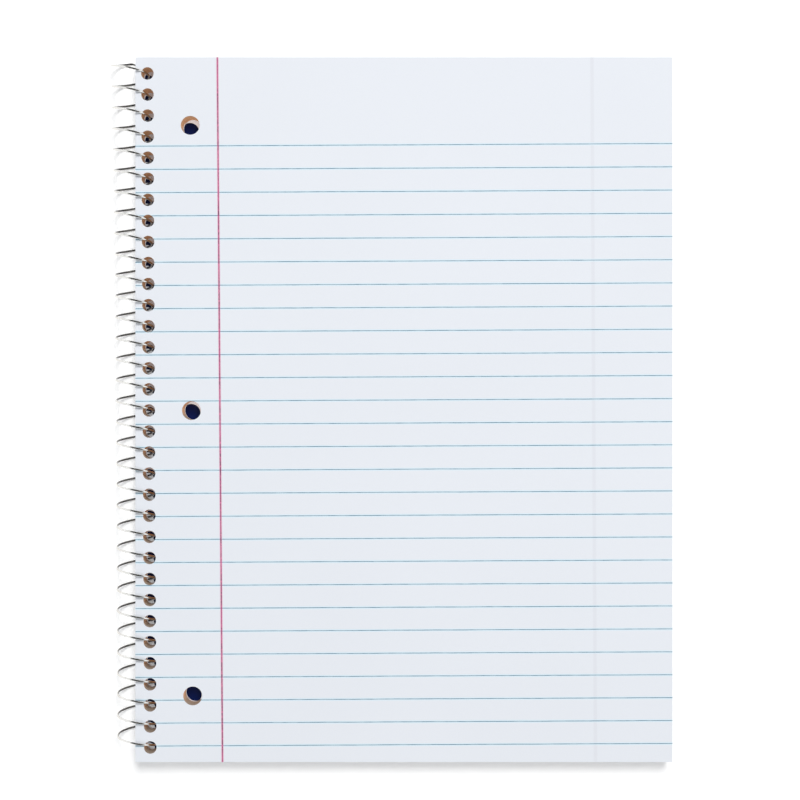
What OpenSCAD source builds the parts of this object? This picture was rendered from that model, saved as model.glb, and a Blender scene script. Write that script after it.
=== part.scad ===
// Open spiral notebook: a wide ruled, drilled block of sheets on a wire coil,
// lying open at its first page with the front cover folded round underneath.
// X runs across the page, Y up the page towards its head, Z up from the table.

/* [Sheets] */
// Width of a sheet, from the binding edge to the free edge
sheet_w = 203.2; // [180:0.1:230]
// Height of a sheet, from foot to head
sheet_h = 266.7; // [240:0.1:300]
// Number of sheets in the block
sheet_count = 120; // [60:1:125]
// Thickness of one sheet, with the air between two
sheet_t = 0.08; // [0.07:0.005:0.085]
// How far the book is cut out of square with its rows of holes, in degrees
cut_skew = 0.25; // [0:0.05:0.5]

/* [Coil holes] */
// Distance from one coil hole to the next
hole_pitch = 7.97; // [7.6:0.01:8]
// Diameter of a coil hole
hole_d = 4.76; // [4.6:0.01:5.2]
// Distance from the binding edge to the centres of the coil holes
hole_inset = 5.07; // [4.7:0.01:5.5]
// Distance from the head of the sheet to the first coil hole
head_inset = 5.7; // [5:0.1:8]

/* [Binder holes] */
// Diameter of a ring binder hole
ring_hole_d = 7.14; // [5:0.01:8]
// Distance from one ring binder hole to the next
ring_hole_spacing = 107.95; // [80:0.01:115]
// Distance from the binding edge to the centres of the ring binder holes
ring_hole_inset = 21.2; // [16:0.1:26]

/* [Covers] */
// Thickness of the back cover's board
back_cover_t = 0.6; // [0.4:0.05:0.7]
// Thickness of the front cover's card
front_cover_t = 0.45; // [0.3:0.05:0.5]
// Air between the sheets and a cover, or between two covers
leaf_gap = 0.1; // [0.05:0.01:0.15]
// How much a cover is cut shorter than the sheets, along each of its edges
cover_trim = 0.8; // [0:0.1:1.2]
// How far the front cover turns about the coil, in degrees
cover_swing = 120; // [60:1:125]

/* [Coil] */
// Diameter of the wire
wire_d = 0.8; // [0.6:0.01:0.85]
// Diameter of the coil, from wire centre to wire centre
coil_d = 14; // [13.8:0.1:15.2]
// Distance from the sheets' binding edge out to the coil's axis
axis_out = 0.9; // [0.7:0.05:1.2]
// How far the wire runs on below the foot hole, in degrees round the coil
foot_tail = 80; // [70:1:84]
// How far the wire runs on past the head hole, in degrees round the coil
head_tail = 285; // [278:1:288]
// How far the wire's last end is turned back towards the foot
tail_hook = 1.6; // [0.5:0.1:2]

/* [Hidden] */

block_t = sheet_count * sheet_t;
// As many coil holes as the binding edge has room for
hole_count = floor((sheet_h - 2 * head_inset) / hole_pitch) + 1;
coil_r = coil_d / 2;
hole_r = hole_d / 2;

// Heights below are measured from the coil's axis, which is level with the
// middle of the block.
back_cover_top = -block_t / 2 - leaf_gap;
front_cover_top = back_cover_top - back_cover_t - leaf_gap;
back_cover_mid = back_cover_top - back_cover_t / 2;
front_cover_mid = front_cover_top - front_cover_t / 2;

// The coil climbs towards the head as it goes over the top, so where it dips
// under the sheets it is nearer the foot than at the middle of its hole.
function crossing_x(z) = sqrt(coil_r * coil_r - z * z);
function crossing_angle(z) = asin(z / coil_r);
function climb(angle) = hole_pitch * angle / 360;

// How far a leaf reaches from its middle across and up the page, cut askew
function half_w(trim) = sheet_w / 2 - trim;
function half_h(trim) = sheet_h / 2 - trim;
function reach_x(trim) = half_w(trim) * cos(cut_skew) + half_h(trim) * sin(cut_skew);
function reach_y(trim) = half_h(trim) * cos(cut_skew) + half_w(trim) * sin(cut_skew);

// Places measured from the coil's axis and from mid height of the sheets
sheet_edge_x = axis_out;
head_hole_y = sheet_h / 2 - head_inset;
foot_hole_y = head_hole_y - (hole_count - 1) * hole_pitch;
back_edge_x = crossing_x(back_cover_mid) - hole_inset;
back_shift_y = climb(crossing_angle(back_cover_mid));
front_edge_x = crossing_x(front_cover_mid) - hole_inset;
// The wire lies at the head side of the front cover's holes, and crosses to
// their foot side as the cover turns.
front_shift_y = climb(crossing_angle(front_cover_mid) - cover_swing / 2);

// The whole book's box, whose bottom centre is the origin
x_low = -coil_r - wire_d / 2;
x_high = sheet_w / 2 + max(
    sheet_edge_x + reach_x(0),
    max(back_edge_x, front_edge_x) + reach_x(cover_trim)
);
y_low = min(-reach_y(0), min(back_shift_y, front_shift_y) - reach_y(cover_trim));
y_high = reach_y(0);
axis_place = [-(x_low + x_high) / 2, -(y_low + y_high) / 2, coil_r + wire_d / 2];

// Sweep of the wire
wire_sides = 8;
turn_step = 18;
tail_step = 6;
tail_turn = 24;
// First whole step after the foot end, so that rings fall on the coil's extremes
first_step = -turn_step * floor(foot_tail / turn_step);
head_angle = 360 * (hole_count - 1) + head_tail;
hook_angle = head_angle - tail_turn;
// Small angle over which the wire's direction is measured
probe = 0.5;
// Extra length of a cutter beyond each face
over = 1;

function hook_drop(angle) = angle > hook_angle ? tail_hook * pow((angle - hook_angle) / tail_turn, 2) : 0;
function wire_point(angle) = [
    coil_r * cos(angle),
    foot_hole_y + climb(angle) - hook_drop(angle),
    coil_r * sin(angle)
];
function unit(v) = v / norm(v);
function wire_heading(angle) = unit(wire_point(angle + probe) - wire_point(angle - probe));

// One ring of points round the wire, starting on the outside of the coil
function wire_ring(angle) =
    let (out = [cos(angle), 0, sin(angle)],
         side = cross(wire_heading(angle), out),
         middle = wire_point(angle))
    [for (i = [0 : wire_sides - 1])
        let (turn = 360 * i / wire_sides)
        middle + wire_d / 2 * (cos(turn) * out + sin(turn) * side)];

// The four walls of the quads between two rings, and the two cut ends
function sweep_faces(ring_count) = concat(
    [[for (i = [0 : wire_sides - 1]) i]],
    [for (k = [0 : ring_count - 2], i = [0 : wire_sides - 1])
        let (next = (i + 1) % wire_sides)
        [k * wire_sides + i, (k + 1) * wire_sides + i,
         (k + 1) * wire_sides + next, k * wire_sides + next]],
    [[for (i = [wire_sides - 1 : -1 : 0]) (ring_count - 1) * wire_sides + i]]
);

// A leaf lying from z = 0 up, with its row of coil holes
module drilled_leaf(thickness, edge_x, shift_y, trim, ring_holes) {
    translate([edge_x, shift_y, 0])
        difference() {
            translate([sheet_w / 2, 0, thickness / 2])
                rotate([0, 0, -cut_skew])
                    cube([2 * half_w(trim), 2 * half_h(trim), thickness], center = true);
            for (k = [0 : hole_count - 1])
                translate([hole_inset, foot_hole_y + k * hole_pitch, -over])
                    cylinder(r = hole_r, h = thickness + 2 * over, $fn = 48);
            if (ring_holes)
                for (k = [-1 : 1])
                    translate([ring_hole_inset, k * ring_hole_spacing, -over])
                        cylinder(d = ring_hole_d, h = thickness + 2 * over, $fn = 64);
        }
}

// All the sheets of the book, drilled for the coil and for a ring binder
module page_block() {
    color("aliceblue")
        translate(axis_place + [0, 0, -block_t / 2])
            drilled_leaf(block_t, sheet_edge_x, 0, 0, true);
}

// Board under the sheets, drilled as they are
module back_cover() {
    color("tan")
        translate(axis_place + [0, 0, back_cover_top - back_cover_t])
            drilled_leaf(back_cover_t, back_edge_x, back_shift_y, cover_trim, true);
}

// Card cover, folded right round the coil to lie under the back cover
module front_cover() {
    color("midnightblue")
        translate(axis_place + [0, 0, front_cover_top - front_cover_t])
            drilled_leaf(front_cover_t, front_edge_x, front_shift_y, cover_trim, false);
}

// One length of wire wound through every hole
module wire_coil() {
    angles = concat(
        [-foot_tail],
        [for (a = [first_step : turn_step : hook_angle - tail_step]) a],
        [for (a = [hook_angle : tail_step : head_angle]) a]
    );
    color("silver")
        translate(axis_place)
            polyhedron(
                points = [for (a = angles) each wire_ring(a)],
                faces = sweep_faces(len(angles)),
                convexity = 10
            );
}

page_block();
back_cover();
front_cover();
wire_coil();
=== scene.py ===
import math
import random

import bmesh
import bpy
from mathutils import Matrix, Vector


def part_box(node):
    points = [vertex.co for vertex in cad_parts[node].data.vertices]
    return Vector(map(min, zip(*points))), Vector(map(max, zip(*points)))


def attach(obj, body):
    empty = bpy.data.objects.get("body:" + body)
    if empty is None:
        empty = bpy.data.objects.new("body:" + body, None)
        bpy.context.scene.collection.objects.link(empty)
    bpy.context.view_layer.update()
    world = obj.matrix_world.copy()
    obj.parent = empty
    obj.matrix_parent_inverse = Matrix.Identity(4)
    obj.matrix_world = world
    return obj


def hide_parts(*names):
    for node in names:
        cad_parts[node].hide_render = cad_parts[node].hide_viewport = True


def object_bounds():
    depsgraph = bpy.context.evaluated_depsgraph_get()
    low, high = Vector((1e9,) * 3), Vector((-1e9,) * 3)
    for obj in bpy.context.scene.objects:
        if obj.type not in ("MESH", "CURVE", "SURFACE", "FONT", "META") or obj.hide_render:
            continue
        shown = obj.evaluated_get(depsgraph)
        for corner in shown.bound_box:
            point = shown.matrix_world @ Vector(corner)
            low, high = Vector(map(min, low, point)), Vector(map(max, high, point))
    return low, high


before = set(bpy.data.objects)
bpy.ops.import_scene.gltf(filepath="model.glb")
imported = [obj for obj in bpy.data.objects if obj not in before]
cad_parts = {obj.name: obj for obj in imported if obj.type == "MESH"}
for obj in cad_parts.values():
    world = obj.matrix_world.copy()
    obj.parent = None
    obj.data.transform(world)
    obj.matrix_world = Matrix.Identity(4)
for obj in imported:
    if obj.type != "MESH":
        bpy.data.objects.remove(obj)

bl_info = {
    "name": "Open Spiral Notebook",
    "version": (1, 0, 0),
    "blender": (4, 5, 0),
    "location": "View3D > Sidebar > Notebook",
    "description": "Dresses a wide ruled spiral notebook, open at its first page, on its construction frame",
    "category": "Add Mesh",
}

MM = 0.001

# The construction's boxes, from which the dressed pieces take their places
CAD_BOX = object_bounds()
SHEETS_LOW, SHEETS_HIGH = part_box("page_block")
BACK_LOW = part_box("back_cover")[0]
COIL_LOW, COIL_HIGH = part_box("wire_coil")

# Strips along the binding edge: the first holds the coil holes alone, the second all the holes
COIL_STRIP = 12 * MM
HOLE_STRIP = 28 * MM

# Seed of the sheets' stagger, so that every run gives the same edges
EDGE_SEED = 7


class SheetSizes(bpy.types.PropertyGroup):
    """Sizes and colours of the block of sheets."""
    ridges: bpy.props.IntProperty(
        name="Ridges", description="Steps down the block's edge, a few sheets to each",
        default=44, min=8, max=80)
    stagger: bpy.props.FloatProperty(
        name="Stagger", description="How far a sheet's edge may lie in or out of line",
        default=0.16 * MM, min=0, max=0.5 * MM, unit="LENGTH", precision=5)
    skew: bpy.props.FloatProperty(
        name="Skew", description="How far the book is cut out of square with its rows of holes",
        default=math.radians(0.25), subtype="ANGLE")
    hole_pitch: bpy.props.FloatProperty(
        name="Hole pitch", description="From one coil hole to the next",
        default=7.97 * MM, unit="LENGTH", precision=5)
    hole_diameter: bpy.props.FloatProperty(
        name="Hole diameter", description="Diameter of a coil hole",
        default=4.76 * MM, unit="LENGTH", precision=5)
    hole_inset: bpy.props.FloatProperty(
        name="Hole inset", description="From the binding edge to the coil holes' centres",
        default=5.07 * MM, unit="LENGTH", precision=5)
    head_inset: bpy.props.FloatProperty(
        name="Head inset", description="From the head of the sheet to the first coil hole",
        default=5.7 * MM, unit="LENGTH", precision=5)
    ring_diameter: bpy.props.FloatProperty(
        name="Binder hole diameter", description="Diameter of a ring binder hole",
        default=7.14 * MM, unit="LENGTH", precision=5)
    ring_spacing: bpy.props.FloatProperty(
        name="Binder hole spacing", description="From one ring binder hole to the next",
        default=107.95 * MM, unit="LENGTH", precision=5)
    ring_inset: bpy.props.FloatProperty(
        name="Binder hole inset", description="From the binding edge to the ring binder holes' centres",
        default=21.2 * MM, unit="LENGTH", precision=5)
    paper: bpy.props.FloatVectorProperty(
        name="Paper", description="Colour of the sheets", subtype="COLOR", default=(0.79, 0.815, 0.862))
    cut_edge: bpy.props.FloatVectorProperty(
        name="Cut edge", description="Colour of the sheets' cut edges",
        subtype="COLOR", default=(0.70, 0.69, 0.67))
    # Painted warm shade on the hole walls: the colour of light bounced between the sheets, not of the paper
    painted_hole_shade: bpy.props.FloatVectorProperty(
        name="Hole wall", description="Warm shade on the walls of the punched holes",
        subtype="COLOR", default=(0.80, 0.49, 0.29))
    wall_shade: bpy.props.FloatVectorProperty(
        name="Wall shade", description="Greyer shade on the hole walls that face the head",
        subtype="COLOR", default=(0.27, 0.27, 0.25))
    # Strength of a painted glow on the hole walls, which stands in for light that comes through the sheets
    painted_glow: bpy.props.FloatProperty(
        name="Soak", description="Share of light that reaches the hole walls through the sheets",
        default=0.30, min=0, max=1, subtype="FACTOR")


class PrintSizes(bpy.types.PropertyGroup):
    """Sizes and colours of the ruling and the margin line."""
    rule_pitch: bpy.props.FloatProperty(
        name="Rule pitch", description="From one ruled line to the next",
        default=8.73 * MM, unit="LENGTH", precision=5)
    rule_count: bpy.props.IntProperty(name="Rules", description="Number of ruled lines", default=27, min=2)
    first_rule: bpy.props.FloatProperty(
        name="First rule", description="From the head of the sheet to the first line, at mid width",
        default=33.15 * MM, unit="LENGTH", precision=5)
    rule_width: bpy.props.FloatProperty(
        name="Rule width", description="Thickness of a ruled line",
        default=0.36 * MM, unit="LENGTH", precision=5)
    rule_sag: bpy.props.FloatProperty(
        name="Rule sag", description="How far the middle lines lie towards the foot of even spacing",
        default=0.5 * MM, unit="LENGTH", precision=5)
    rule_slope: bpy.props.FloatProperty(
        name="Rule slope", description="How far the ruling is turned on the sheet",
        default=math.radians(0.29), subtype="ANGLE")
    margin_inset: bpy.props.FloatProperty(
        name="Margin inset", description="From the binding edge to the margin line, at mid height",
        default=31.97 * MM, unit="LENGTH", precision=5)
    margin_width: bpy.props.FloatProperty(
        name="Margin width", description="Thickness of the margin line",
        default=1.0 * MM, unit="LENGTH", precision=5)
    margin_slope: bpy.props.FloatProperty(
        name="Margin slope", description="How far the margin line is turned on the sheet",
        default=math.radians(0.42), subtype="ANGLE")
    reverse_inset: bpy.props.FloatProperty(
        name="Reverse margin inset", description="From the free edge to the other side's margin line",
        default=29.8 * MM, unit="LENGTH", precision=5)
    show_through: bpy.props.FloatProperty(
        name="Show through", description="How strongly the other side's margin line shows through",
        default=0.10, min=0, max=1, subtype="FACTOR")
    rule_ink: bpy.props.FloatVectorProperty(
        name="Rule ink", description="Colour of the ruled lines",
        subtype="COLOR", default=(0.05, 0.15, 0.25))
    rule_bleed: bpy.props.FloatVectorProperty(
        name="Rule bleed", description="Colour of the paper where the ruling bleeds into it",
        subtype="COLOR", default=(0.60, 0.90, 1.0))
    margin_ink: bpy.props.FloatVectorProperty(
        name="Margin ink", description="Colour of the margin line",
        subtype="COLOR", default=(0.72, 0.12, 0.30))
    margin_blot: bpy.props.FloatVectorProperty(
        name="Margin blot", description="Colour of the darker blots along the margin line",
        subtype="COLOR", default=(0.12, 0.015, 0.065))
    reverse_ink: bpy.props.FloatVectorProperty(
        name="Reverse ink", description="Colour of the other side's margin line through the sheet",
        subtype="COLOR", default=(0.42, 0.38, 0.44))


class CoverSizes(bpy.types.PropertyGroup):
    """Colours of the two covers."""
    card: bpy.props.FloatVectorProperty(
        name="Card", description="Printed outside of the front cover",
        subtype="COLOR", default=(0.003, 0.011, 0.085))
    scuff: bpy.props.FloatVectorProperty(
        name="Scuff", description="Paler scuffs on the printed card",
        subtype="COLOR", default=(0.05, 0.07, 0.18))
    liner: bpy.props.FloatVectorProperty(
        name="Liner", description="Plain inner face of a cover", subtype="COLOR", default=(0.78, 0.80, 0.85))
    board: bpy.props.FloatVectorProperty(
        name="Board", description="Grey chipboard of the back cover",
        subtype="COLOR", default=(0.34, 0.27, 0.20))
    fleck: bpy.props.FloatVectorProperty(
        name="Fleck", description="Dark flecks in the chipboard",
        subtype="COLOR", default=(0.16, 0.12, 0.09))
    # Strength of a painted glow on the back cover's inner face, which stands in for light that comes through
    # the sheets
    painted_glow: bpy.props.FloatProperty(
        name="Soak", description="Share of light that reaches the back cover's inner face through the sheets",
        default=0.35, min=0, max=1, subtype="FACTOR")


class CoilSizes(bpy.types.PropertyGroup):
    """Sizes and colours of the wire coil."""
    wire: bpy.props.FloatProperty(
        name="Wire", description="Diameter of the wire", default=0.8 * MM, unit="LENGTH", precision=5)
    steps: bpy.props.IntProperty(
        name="Steps", description="Steps in one turn of the coil", default=40, min=12, max=72)
    sides: bpy.props.IntProperty(name="Sides", description="Sides of the wire", default=12, min=6, max=24)
    foot_tail: bpy.props.FloatProperty(
        name="Foot tail", description="How far the wire runs on below the foot hole",
        default=math.radians(80), subtype="ANGLE")
    head_tail: bpy.props.FloatProperty(
        name="Head tail", description="How far the wire runs on past the head hole",
        default=math.radians(285), subtype="ANGLE")
    hook_turn: bpy.props.FloatProperty(
        name="Hook turn", description="Length of the turned back end, round the coil",
        default=math.radians(24), subtype="ANGLE")
    hook_drop: bpy.props.FloatProperty(
        name="Hook drop", description="How far the last end is turned back towards the foot",
        default=1.6 * MM, unit="LENGTH", precision=5)
    lean: bpy.props.FloatProperty(
        name="Lean", description="How far the head end is bent out from the sheets, in its holes' play",
        default=1.15 * MM, unit="LENGTH", precision=5)
    steel: bpy.props.FloatVectorProperty(
        name="Steel", description="Colour of the wire", subtype="COLOR", default=(0.80, 0.78, 0.74))
    # Painted shade on the inner side of the wire's turns, standing in for the dark that it mirrors there
    painted_inner_shade: bpy.props.FloatVectorProperty(
        name="Rubbed", description="Colour of the wire inside its turns",
        subtype="COLOR", default=(0.22, 0.21, 0.20))


class StageSizes(bpy.types.PropertyGroup):
    """Sizes of the camera, the light and the floor."""
    camera_height: bpy.props.FloatProperty(
        name="Camera height", description="From the page up to the camera", default=0.64, unit="LENGTH")
    view_width: bpy.props.FloatProperty(
        name="View width", description="Width that the picture shows at the page",
        default=0.3027, unit="LENGTH")
    page_right: bpy.props.FloatProperty(
        name="Page right", description="How far the page's middle lies right of the picture's",
        default=1.48 * MM, unit="LENGTH", precision=5)
    page_down: bpy.props.FloatProperty(
        name="Page down", description="How far the page's middle lies below the picture's",
        default=3.67 * MM, unit="LENGTH", precision=5)
    floor_size: bpy.props.FloatProperty(
        name="Floor size", description="Width of the floor", default=12.0, unit="LENGTH")
    key_share: bpy.props.FloatProperty(
        name="Key light", description="Share of white that the key light gives a level page",
        default=0.60, min=0, max=1, subtype="FACTOR")
    fill_share: bpy.props.FloatProperty(
        name="Fill light", description="Share of white that the fill light gives a level page",
        default=0.27, min=0, max=1, subtype="FACTOR")


class Signal:
    """One socket of a shader, with Python's operators adding Math nodes."""

    def __init__(self, shader, socket):
        self.shader = shader
        self.socket = socket

    def math(self, operation, *others):
        """This value put through a Math node with the others."""
        values = dict(enumerate((self, *others)))
        return self.shader.add("ShaderNodeMath", {"operation": operation}, values)

    def __add__(self, other):
        return self.math("ADD", other)

    def __sub__(self, other):
        return self.math("SUBTRACT", other)

    def __mul__(self, other):
        return self.math("MULTIPLY", other)

    def __truediv__(self, other):
        return self.math("DIVIDE", other)

    def __rsub__(self, other):
        return self.math("MULTIPLY", -1).math("ADD", other)

    __radd__ = __add__
    __rmul__ = __mul__

    def size(self):
        """The value without its sign."""
        return self.math("ABSOLUTE")

    def step(self, low, high):
        """0 up to low, 1 from high, and smooth between."""
        settings = {"interpolation_type": "SMOOTHSTEP"}
        values = {"Value": self, "From Min": low, "From Max": high}
        return self.shader.add("ShaderNodeMapRange", settings, values)


class Nodes:
    """A tree of shader nodes under construction."""

    def __init__(self, tree, place):
        self.tree = tree
        self.place = self.add("ShaderNodeTexCoord", output=place)

    def add(self, kind, settings=None, values=None, output=0):
        """Adds a node, sets it up, feeds its sockets and returns one output."""
        node = self.tree.nodes.new(kind)
        for name, value in (settings or {}).items():
            setattr(node, name, value)
        for key, value in (values or {}).items():
            if isinstance(value, Signal):
                self.tree.links.new(value.socket, node.inputs[key])
            else:
                node.inputs[key].default_value = value
        return Signal(self, node.outputs[output])

    def parts(self, vector):
        """A vector's x, y and z."""
        first = self.add("ShaderNodeSeparateXYZ", values={0: vector})
        return [Signal(self, socket) for socket in first.socket.node.outputs]


class Finish(Nodes):
    """A material under construction."""

    def __init__(self, name, uniform):
        self.material = bpy.data.materials.new(name)
        self.material.use_nodes = True
        super().__init__(self.material.node_tree, "Object")
        self.surface = self.tree.nodes["Principled BSDF"]
        for label, value in uniform.items():
            self.surface.inputs[label].default_value = value

    def facing(self):
        """The surface's own x, y and z direction, which turns with the piece."""
        return self.parts(self.add("ShaderNodeTexCoord", output="Normal"))

    def stretched(self, scale):
        """The place, scaled along each axis."""
        return self.add("ShaderNodeMapping", values={"Vector": self.place, "Scale": scale})

    def grain(self, scale, detail, place=None):
        """Noise from 0 to 1, with that many grains to a metre."""
        values = {"Vector": place or self.place, "Scale": scale, "Detail": detail}
        return self.add("ShaderNodeTexNoise", values=values)

    def streaks(self, scale, detail):
        """Noise from 0 to 1, with that many grains to a metre along each axis."""
        return self.grain(1.0, detail, self.stretched(scale))

    def mix(self, share, first, second):
        """A colour between two."""
        values = {0: share, 6: first, 7: second}
        return self.add("ShaderNodeMix", {"data_type": "RGBA"}, values, output=2)

    def tint(self, colour, share):
        """A colour made darker or lighter by a factor."""
        return self.add("ShaderNodeVectorMath", {"operation": "SCALE"}, {0: colour, "Scale": share})

    def relief(self, height, distance):
        """Bumps the surface by a height from 0 to 1."""
        self.feed("Normal", self.add("ShaderNodeBump", values={"Height": height, "Distance": distance}))

    def feed(self, label, signal):
        """Links a value or colour to the surface's own socket."""
        self.tree.links.new(signal.socket, self.surface.inputs[label])


def opaque(colour):
    """A colour property as the four numbers of a colour socket."""
    return (*colour, 1.0)


def sheet_frame(sheets):
    """The middle of the block's top, and the sheets' own width and height, square with their edges."""
    low, high = SHEETS_LOW, SHEETS_HIGH
    middle = Vector(((low[0] + high[0]) / 2, (low[1] + high[1]) / 2, high[2]))
    box_w = high[0] - low[0]
    box_h = high[1] - low[1]
    cos = math.cos(sheets.skew)
    sin = math.sin(sheets.skew)
    width = (box_w * cos - box_h * sin) / (cos * cos - sin * sin)
    height = (box_h * cos - box_w * sin) / (cos * cos - sin * sin)
    return middle, width, height


def page_place(finish, sheets):
    """How far a place lies right of the page's middle, and towards the head, square with the edges."""
    middle = sheet_frame(sheets)[0]
    cos = math.cos(sheets.skew)
    sin = math.sin(sheets.skew)
    x, y, _ = finish.parts(finish.place)
    across = (x - middle.x) * cos - (y - middle.y) * sin
    along = (x - middle.x) * sin + (y - middle.y) * cos
    return across, along


def reverse_margin(finish, page, across, along, width, ink):
    """Adds the margin line of the sheet's other side, which shows through softly."""
    line_x = width / 2 - ink.reverse_inset
    off_line = (across - line_x + along * math.tan(ink.rule_slope)).size()
    line = 1 - off_line.step(0.3 * MM, 1.0 * MM)
    return finish.mix(line * ink.show_through, page, opaque(ink.reverse_ink))


def ruled_lines(finish, page, across, along, height, ink):
    """Adds the ruling: cores of uneven ink, with a paler bleed on each side."""
    line = (height / 2 - ink.first_rule - along + across * math.tan(ink.rule_slope)) / ink.rule_pitch
    share = line / (ink.rule_count - 1)
    line = line - share * (1 - share) * (4 * ink.rule_sag / ink.rule_pitch)
    ruled = (line + 0.5).step(-0.01, 0.01) * (ink.rule_count - 0.5 - line).step(-0.01, 0.01)

    wobble = finish.streaks((90, 4, 1), 2.0) - 0.5
    off_line = ((line - line.math("ROUND")) * ink.rule_pitch + wobble * (0.15 * MM)).size()
    half = ink.rule_width / 2
    bleed = 1 - off_line.step(half, half * 4.5)
    core = 1 - off_line.step(half * 0.45, half * 1.15)
    dashes = finish.streaks((230, 900, 1), 4.0).step(0.36, 0.62)
    dots = finish.streaks((2600, 6000, 1), 1.0).step(0.35, 0.65)
    density = 0.56 + dashes * 0.26 + dots * 0.18
    page = finish.mix(bleed * ruled * 0.40, page, opaque(ink.rule_bleed))
    return finish.mix(core * ruled * density, page, opaque(ink.rule_ink))


def margin_line(finish, page, across, along, width, ink):
    """Adds the red margin line, with rough edges and darker blots along its core."""
    line_x = ink.margin_inset - width / 2
    rough = finish.grain(3800, 1.0) * (0.12 * MM)
    off_line = (across - line_x + along * math.tan(ink.margin_slope)).size() + rough
    half = ink.margin_width / 2
    line = 1 - off_line.step(half * 0.75, half * 1.25)
    core = 1 - off_line.step(half * 0.3, half * 0.8)
    blots = finish.streaks((2600, 1100, 1), 3.0).step(0.36, 0.54)
    dense = finish.streaks((40, 150, 1), 2.0).step(0.35, 0.65)
    colour = finish.mix(blots * core * (0.5 + dense * 0.5), opaque(ink.margin_ink), opaque(ink.margin_blot))
    return finish.mix(line * (0.5 + core * 0.46), page, colour)


def in_holes(x, y):
    """1 where the holes are and 0 along the block's outer sides."""
    rim = 1.6 * MM
    soft = 0.2 * MM
    inside = (x - (SHEETS_LOW[0] + rim)).step(0, soft) * (SHEETS_LOW[0] + HOLE_STRIP - x).step(0, soft)
    inside = inside * (SHEETS_HIGH[1] - rim - y).step(0, soft)
    return inside * (y - (SHEETS_LOW[1] + rim)).step(0, soft)


def hole_walls(finish, sheets, leaves):
    """The painted colour of the holes' walls, and the strength of a painted glow on them that stands in for
    light through the sheets.

    The walls are painted a warm shade, a greyer shade where they face the head, and pale light at the lowest
    sheets.
    """
    x, _, z = finish.parts(finish.place)
    side_x, side_y, _ = finish.facing()
    shaded = side_y.step(-0.2, 0.8)
    # Painted light: the walls of the lowest sheets that face right and towards the head are painted pale
    # paper and glow more
    painted_low_light = 1 - (z - SHEETS_LOW[2]).step(1.3 * MM, 2.0 * MM)
    painted_low_light = painted_low_light * (side_x + side_y * 0.6).step(0.2, 0.7)
    # Painted shade: warm on every wall, greyer on the walls that face the head
    wall = finish.mix(shaded * 0.8, opaque(sheets.painted_hole_shade), opaque(sheets.wall_shade))
    wall = finish.mix(painted_low_light, wall, opaque(sheets.paper))
    wall = finish.tint(wall, 0.8 + leaves * 0.4)
    binder = (x - (SHEETS_LOW[0] + COIL_STRIP)).step(0, 1 * MM)
    # Painted glow that stands in for light through the sheets: weaker where the walls face the head, stronger
    # in the binder holes and at the lowest sheets
    painted_wall_glow = (1 - shaded * 0.85) * (0.3 + binder * 0.35 + painted_low_light * 0.9) * sheets.painted_glow
    return wall, painted_wall_glow


def sheet_paper(sheets, ink):
    """Writing paper with its ruling on top, cut edges at the sides and painted shade and glow on the walls of
    the punched holes.
    """
    finish = Finish("Ruled paper", {"IOR": 1.45, "Emission Strength": 1.0})
    _, width, height = sheet_frame(sheets)
    across, along = page_place(finish, sheets)
    fibre = finish.grain(2600, 3.0)
    cloud = finish.grain(14, 2.0)
    page = finish.tint(sheets.paper, 0.955 + fibre * 0.035 + cloud * 0.04)
    page = reverse_margin(finish, page, across, along, width, ink)
    page = ruled_lines(finish, page, across, along, height, ink)
    page = margin_line(finish, page, across, along, width, ink)

    x, y, _ = finish.parts(finish.place)
    inside = in_holes(x, y)
    leaves = finish.streaks((60, 60, 9000), 2.0)
    cut = finish.tint(sheets.cut_edge, 0.72 + leaves * 0.5)
    wall, painted_wall_glow = hole_walls(finish, sheets, leaves)
    flat = finish.facing()[2].size().step(0.6, 0.9)
    side = finish.mix(inside, cut, wall)
    finish.feed("Base Color", finish.mix(flat, side, page))
    # Painted glow on the hole walls, standing in for light that comes through the sheets
    finish.feed("Emission Color", finish.tint(wall, inside * (1 - flat) * painted_wall_glow))
    finish.feed("Roughness", 0.78 + fibre * 0.16)
    finish.relief(fibre * flat + leaves * (1 - flat) * 3.0, 0.012 * MM)
    return finish.material


def cover_card(covers):
    """Navy printed card with a thin gloss coat, plain on its inner face and along its cut edges."""
    finish = Finish("Navy card", {"IOR": 1.45, "Coat Roughness": 0.3, "Specular IOR Level": 0.12})
    cloud = finish.grain(30, 3.0)
    fibre = finish.grain(1800, 3.0)
    scuffed = finish.streaks((40, 220, 40), 4.0).step(0.66, 0.78)
    printed = finish.tint(covers.card, 0.85 + cloud * 0.3)
    printed = finish.mix(scuffed * 0.12, printed, opaque(covers.scuff))
    plain = finish.tint(covers.liner, 0.9 + fibre * 0.15)
    cut = finish.tint(covers.liner, 0.75 + fibre * 0.3)
    up = finish.facing()[2]
    outside = up.step(0.5, 0.9)
    flat = up.size().step(0.5, 0.9)
    finish.feed("Base Color", finish.mix(flat, cut, finish.mix(outside, plain, printed)))
    finish.feed("Roughness", 0.38 + fibre * 0.2 + (1 - outside) * 0.3)
    finish.feed("Coat Weight", outside * 0.05)
    finish.relief(fibre + cloud, 0.01 * MM)
    return finish.material


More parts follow.
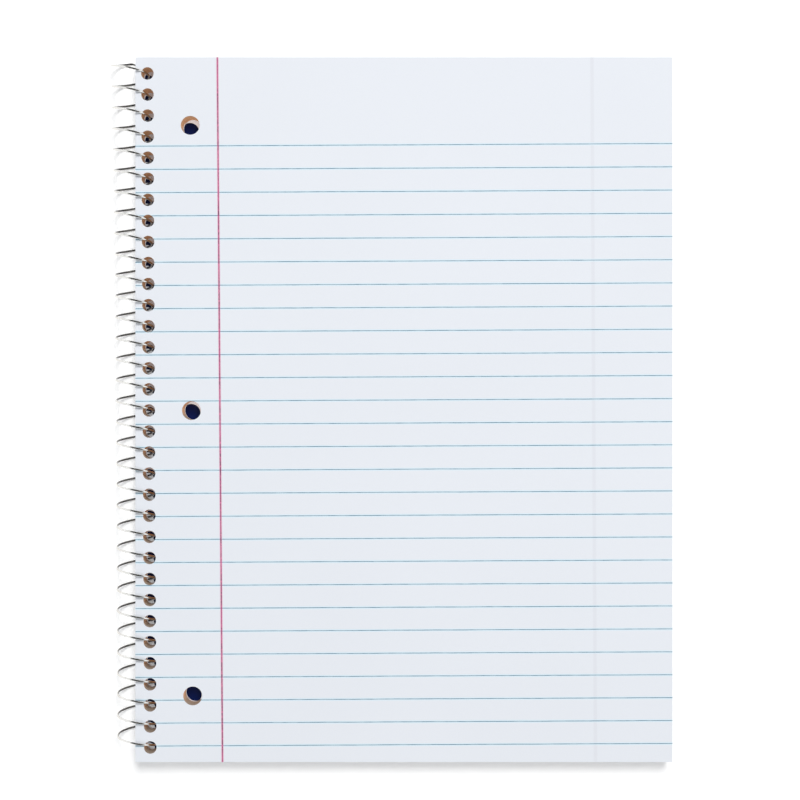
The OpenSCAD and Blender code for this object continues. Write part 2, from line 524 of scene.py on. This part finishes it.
def cover_board(covers):
    """Grey chipboard with flecks, lined with pale paper on its inner face, which carries a painted glow for
    light through the sheets.
    """
    finish = Finish("Chipboard", {"IOR": 1.45, "Emission Strength": 1.0})
    cloud = finish.grain(45, 3.0)
    fibre = finish.streaks((900, 380, 900), 4.0)
    flecks = finish.grain(420, 2.0).step(0.68, 0.74)
    board = finish.tint(covers.board, 0.8 + cloud * 0.25 + fibre * 0.2)
    board = finish.mix(flecks * 0.5, board, opaque(covers.fleck))
    liner = finish.tint(covers.liner, 0.92 + fibre * 0.12)
    inner = finish.facing()[2].step(0.5, 0.9)
    x = finish.parts(finish.place)[0]
    binder = (x - (BACK_LOW[0] + COIL_STRIP)).step(0, 1 * MM)
    finish.feed("Base Color", finish.mix(inner, board, liner))
    # Painted glow on the inner face, weaker along the coil holes, standing in for light that comes through
    # the sheets
    finish.feed("Emission Color", finish.tint(liner, inner * (0.2 + binder * 0.8) * covers.painted_glow))
    finish.feed("Roughness", 0.8 + fibre * 0.15)
    finish.relief(fibre, 0.02 * MM)
    return finish.material


def wire_steel(coil, axis):
    """Bright drawn wire, with faint streaks along it and dull patches, and painted shade on the inner side of
    its turns.
    """
    finish = Finish("Steel wire", {"Metallic": 1.0})
    x, _, z = finish.parts(finish.place)
    face_x, _, face_z = finish.facing()
    radius = (COIL_HIGH[2] - COIL_LOW[2]) / 2
    inward = (face_x * (axis.x - x) + face_z * (axis.z - z)) / radius
    patch = finish.grain(220, 3.0)
    streak = finish.streaks((500, 7000, 500), 2.0)
    # Painted shade: the wire's inner side is painted dark, standing in for the dark that it mirrors there
    colour = finish.mix(inward.step(0.0, 0.5), opaque(coil.steel), opaque(coil.painted_inner_shade))
    finish.feed("Base Color", finish.tint(colour, 0.75 + patch * 0.35 + streak * 0.1))
    finish.feed("Roughness", 0.06 + patch * 0.09 + streak * 0.05)
    finish.relief(streak, 0.004 * MM)
    return finish.material


def floor_paint():
    """Pale matt paint that glows more with the distance, so that the floor runs into the backdrop."""
    uniform = {"Base Color": (0.93, 0.93, 0.93, 1), "Roughness": 0.9, "Emission Strength": 1.0}
    finish = Finish("Pale floor", uniform)
    away = finish.add("ShaderNodeVectorMath", {"operation": "LENGTH"}, {0: finish.place}, output="Value")
    near, far = 0.35, 2.2
    finish.feed("Emission Color", finish.tint((1, 1, 1), 0.16 + away.step(near, far) * 0.75))
    return finish.material


def new_piece(name, bm, material, body, node):
    """Turns a bmesh into a finished piece that stands for a construction piece and rides with a body."""
    mesh = bpy.data.meshes.new(name)
    bm.to_mesh(mesh)
    bm.free()
    mesh.materials.append(material)
    piece = bpy.data.objects.new(name, mesh)
    bpy.context.collection.objects.link(piece)
    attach(piece, body)
    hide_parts(node)


def dress(node, material):
    """Gives a construction piece its finish."""
    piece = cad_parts[node]
    piece.data.materials.clear()
    piece.data.materials.append(material)


def open_edges(bm):
    """The edges with one face, or none."""
    return [edge for edge in bm.edges if len(edge.link_faces) < 2]


def drilled_outline(bm, sheets):
    """The top sheet: its outline and the rims of its holes, filled between."""
    middle, width, height = sheet_frame(sheets)
    place = Matrix.Translation(middle) @ Matrix.Rotation(-sheets.skew, 4, "Z")
    place = place @ Matrix.Diagonal((width, height, 1, 1))
    bmesh.ops.create_grid(bm, x_segments=1, y_segments=1, size=0.5, matrix=place)
    bmesh.ops.delete(bm, geom=bm.faces[:], context="FACES_ONLY")
    bmesh.ops.subdivide_edges(bm, edges=bm.edges[:], cuts=15)

    first_y = height / 2 - sheets.head_inset
    count = int((height - 2 * sheets.head_inset) / sheets.hole_pitch) + 1
    coil_holes = [(sheets.hole_inset, first_y - k * sheets.hole_pitch) for k in range(count)]
    binder_holes = [(sheets.ring_inset, k * sheets.ring_spacing) for k in (-1, 0, 1)]
    rows = ((coil_holes, sheets.hole_diameter, 24), (binder_holes, sheets.ring_diameter, 36))
    for spots, diameter, sides in rows:
        for inset, y in spots:
            place = Matrix.Translation(middle + Vector((inset - width / 2, y, 0)))
            bmesh.ops.create_circle(bm, segments=sides, radius=diameter / 2, matrix=place)
    bmesh.ops.triangle_fill(bm, edges=bm.edges[:], use_beauty=True, normal=(0, 0, 1))


class NOTEBOOK_OT_sheets(bpy.types.Operator):
    """Makes the block of ruled, punched sheets"""
    bl_idname = "notebook.sheets"
    bl_label = "Sheets"

    def execute(self, context):
        sheets = context.scene.notebook_sheets
        bm = bmesh.new()
        drilled_outline(bm, sheets)
        rng = random.Random(EDGE_SEED)
        depth = (SHEETS_HIGH[2] - SHEETS_LOW[2]) / sheets.ridges
        before = Vector((0, 0, 0))
        for ridge in range(1, sheets.ridges + 1):
            made = bmesh.ops.extrude_edge_only(bm, edges=open_edges(bm))["geom"]
            leaf = [part for part in made if isinstance(part, bmesh.types.BMVert)]
            shift = Vector((rng.uniform(-1, 1), rng.uniform(-1, 1), 0)) * sheets.stagger / 2
            if ridge == sheets.ridges:
                shift = Vector((0, 0, 0))
            bmesh.ops.translate(bm, verts=leaf, vec=shift - before - Vector((0, 0, depth)))
            before = shift
        bmesh.ops.triangle_fill(bm, edges=open_edges(bm), use_beauty=True, normal=(0, 0, -1))
        bmesh.ops.recalc_face_normals(bm, faces=bm.faces[:])
        paper = sheet_paper(sheets, context.scene.notebook_print)
        new_piece("ruled_sheets", bm, paper, "book", "page_block")
        return {"FINISHED"}


class NOTEBOOK_OT_covers(bpy.types.Operator):
    """Finishes the chipboard back cover and the navy front cover"""
    bl_idname = "notebook.covers"
    bl_label = "Covers"

    def execute(self, context):
        covers = context.scene.notebook_covers
        dress("back_cover", cover_board(covers))
        dress("front_cover", cover_card(covers))
        return {"FINISHED"}


class NOTEBOOK_OT_coil(bpy.types.Operator):
    """Winds the smooth wire coil"""
    bl_idname = "notebook.coil"
    bl_label = "Coil"

    def execute(self, context):
        coil = context.scene.notebook_coil
        sheets = context.scene.notebook_sheets
        radius = (COIL_HIGH[2] - COIL_LOW[2] - coil.wire) / 2
        axis = Vector((COIL_LOW[0] + radius + coil.wire / 2, 0, (COIL_LOW[2] + COIL_HIGH[2]) / 2))
        middle, _, height = sheet_frame(sheets)
        turns = int((height - 2 * sheets.head_inset) / sheets.hole_pitch)
        foot_y = middle.y + height / 2 - sheets.head_inset - turns * sheets.hole_pitch
        climb = sheets.hole_pitch / math.tau

        bm = bmesh.new()
        slant = math.atan2(climb, radius)
        start = Matrix.Translation(axis + Vector((0, foot_y - climb * coil.foot_tail, 0)))
        start = start @ Matrix.Rotation(coil.foot_tail, 4, "Y") @ Matrix.Translation((radius, 0, 0))
        bmesh.ops.create_circle(
            bm, cap_ends=True, segments=coil.sides, radius=coil.wire / 2,
            matrix=start @ Matrix.Rotation(-slant, 4, "X"))

        sweep = coil.foot_tail + turns * math.tau + coil.head_tail - coil.hook_turn
        steps = round(sweep / math.tau * coil.steps)
        hook_steps = 5
        stages = [(sweep, steps, climb * sweep)]
        drops = [coil.hook_drop * (k / hook_steps) ** 2 for k in range(hook_steps + 1)]
        part = coil.hook_turn / hook_steps
        stages += [(part, 1, climb * part - drops[k + 1] + drops[k]) for k in range(hook_steps)]
        end = bm.faces[:] + bm.edges[:] + bm.verts[:]
        for angle, count, rise in stages:
            made = bmesh.ops.spin(
                bm, geom=end, cent=axis, axis=(0, -1, 0), dvec=(0, rise / count, 0), angle=angle, steps=count)
            end = made["geom_last"]

        # The fourth power of the height keeps the bend to the head end
        length = turns * sheets.hole_pitch
        for vert in bm.verts:
            vert.co.x -= coil.lean * max(0, (vert.co.y - foot_y) / length) ** 4
        bmesh.ops.recalc_face_normals(bm, faces=bm.faces[:])
        for face in bm.faces:
            face.smooth = len(face.verts) == 4
        new_piece("steel_coil", bm, wire_steel(coil, axis), "book", "wire_coil")
        return {"FINISHED"}


def pale_floor(stage):
    """A wide level floor under the book."""
    bm = bmesh.new()
    place = Matrix.Translation((0, 0, CAD_BOX[0][2]))
    bmesh.ops.create_grid(bm, x_segments=1, y_segments=1, size=stage.floor_size / 2, matrix=place)
    mesh = bpy.data.meshes.new("floor")
    bm.to_mesh(mesh)
    bm.free()
    mesh.materials.append(floor_paint())
    floor = bpy.data.objects.new("floor", mesh)
    bpy.context.collection.objects.link(floor)


def studio():
    """A pale room round the stage, which the wire mirrors brighter, with a dark strip overhead.

    The strip runs from head to foot and is tilted to the right. It makes the dark strokes on the wire.
    """
    world = bpy.data.worlds.new("studio")
    world.use_nodes = True
    sky = Nodes(world.node_tree, "Generated")
    x, _, z = sky.parts(sky.place)
    tilt = math.radians(19.27)
    over = x * math.sin(tilt) + z * math.cos(tilt)
    aside = (x * math.cos(tilt) - z * math.sin(tilt)).size()
    half_angle = math.radians(40)
    dark = (over * math.tan(half_angle) - aside).step(-0.05, 0.10)
    mirrored = sky.add("ShaderNodeLightPath", output="Is Glossy Ray")
    seen = sky.add("ShaderNodeLightPath", output="Is Camera Ray")
    # What lights the book, then what mirrors and the camera see beside it
    strength = 0.25 + mirrored * (0.90 - dark * 1.12) + seen * 0.65
    background = sky.tree.nodes["Background"]
    background.inputs["Color"].default_value = (0.94, 0.97, 1.0, 1.0)
    sky.tree.links.new(strength.socket, background.inputs["Strength"])
    return world


def soft_light(name, spot, reach, size, share):
    """A square soft box that faces a spot from a reach away, and gives a level page that share of white.

    The wire doesn't mirror it, so that its turns show the dark and bright parts of the studio alone.
    """
    light = bpy.data.lights.new(name, "AREA")
    light.shape = "SQUARE"
    light.size = size
    # A soft box of power P gives a level page the share P * cos(slope of the reach) / (pi * reach)^2
    light.energy = share * math.pi ** 2 * reach.length ** 3 / reach.z
    lamp = bpy.data.objects.new(name, light)
    lamp.location = spot + reach
    lamp.visible_glossy = False
    bpy.context.collection.objects.link(lamp)
    lamp.rotation_euler = reach.to_track_quat("Z", "Y").to_euler()


def page_camera(stage, middle, skew):
    """A camera straight above the page, turned as the page is cut."""
    lens = bpy.data.cameras.new("camera")
    lens.sensor_width = 36
    lens.lens = lens.sensor_width * stage.camera_height / stage.view_width
    lens.clip_start = 0.01
    camera = bpy.data.objects.new("camera", lens)
    camera.location = middle + Vector((-stage.page_right, stage.page_down, stage.camera_height))
    camera.rotation_euler = (0, 0, -skew)
    bpy.context.collection.objects.link(camera)
    return camera


class NOTEBOOK_OT_stage(bpy.types.Operator):
    """Sets the floor, the light and the camera"""
    bl_idname = "notebook.stage"
    bl_label = "Stage"

    def execute(self, context):
        scene = context.scene
        stage = scene.notebook_stage
        sheets = scene.notebook_sheets
        middle = sheet_frame(sheets)[0]
        pale_floor(stage)
        scene.world = studio()
        scene.view_settings.view_transform = "Standard"
        soft_light("key", middle, reach=Vector((0.3, 1.0, 2.3)), size=0.8, share=stage.key_share)
        soft_light("overhead fill", middle, reach=Vector((0.0, -0.2, 2.2)), size=1.5, share=stage.fill_share)
        scene.camera = page_camera(stage, middle, sheets.skew)
        return {"FINISHED"}


class NOTEBOOK_PT_panel(bpy.types.Panel):
    """Lists the notebook's pieces and their sizes"""
    bl_idname = "NOTEBOOK_PT_panel"
    bl_label = "Spiral Notebook"
    bl_space_type = "VIEW_3D"
    bl_region_type = "UI"
    bl_category = "Notebook"

    def draw(self, context):
        for operator, groups in PANEL_ROWS:
            box = self.layout.box()
            box.operator(operator)
            for name in groups:
                group = getattr(context.scene, name)
                for key in group.__annotations__:
                    box.prop(group, key)


GROUPS = {
    "notebook_sheets": SheetSizes,
    "notebook_print": PrintSizes,
    "notebook_covers": CoverSizes,
    "notebook_coil": CoilSizes,
    "notebook_stage": StageSizes,
}
PANEL_ROWS = (
    ("notebook.stage", ("notebook_stage",)),
    ("notebook.sheets", ("notebook_sheets", "notebook_print")),
    ("notebook.covers", ("notebook_covers",)),
    ("notebook.coil", ("notebook_coil",)),
)
CLASSES = (
    *GROUPS.values(),
    NOTEBOOK_OT_stage,
    NOTEBOOK_OT_sheets,
    NOTEBOOK_OT_covers,
    NOTEBOOK_OT_coil,
    NOTEBOOK_PT_panel,
)


def register():
    """Registers the classes and hangs the sizes on the scene."""
    for kind in CLASSES:
        bpy.utils.register_class(kind)
    for name, kind in GROUPS.items():
        setattr(bpy.types.Scene, name, bpy.props.PointerProperty(type=kind))


def unregister():
    """Takes the sizes and the classes away again."""
    for name in GROUPS:
        delattr(bpy.types.Scene, name)
    for kind in reversed(CLASSES):
        bpy.utils.unregister_class(kind)


def main():
    """Makes every piece."""
    register()
    bpy.ops.notebook.stage()
    bpy.ops.notebook.sheets()
    bpy.ops.notebook.covers()
    bpy.ops.notebook.coil()


if __name__ == "__main__":
    main()
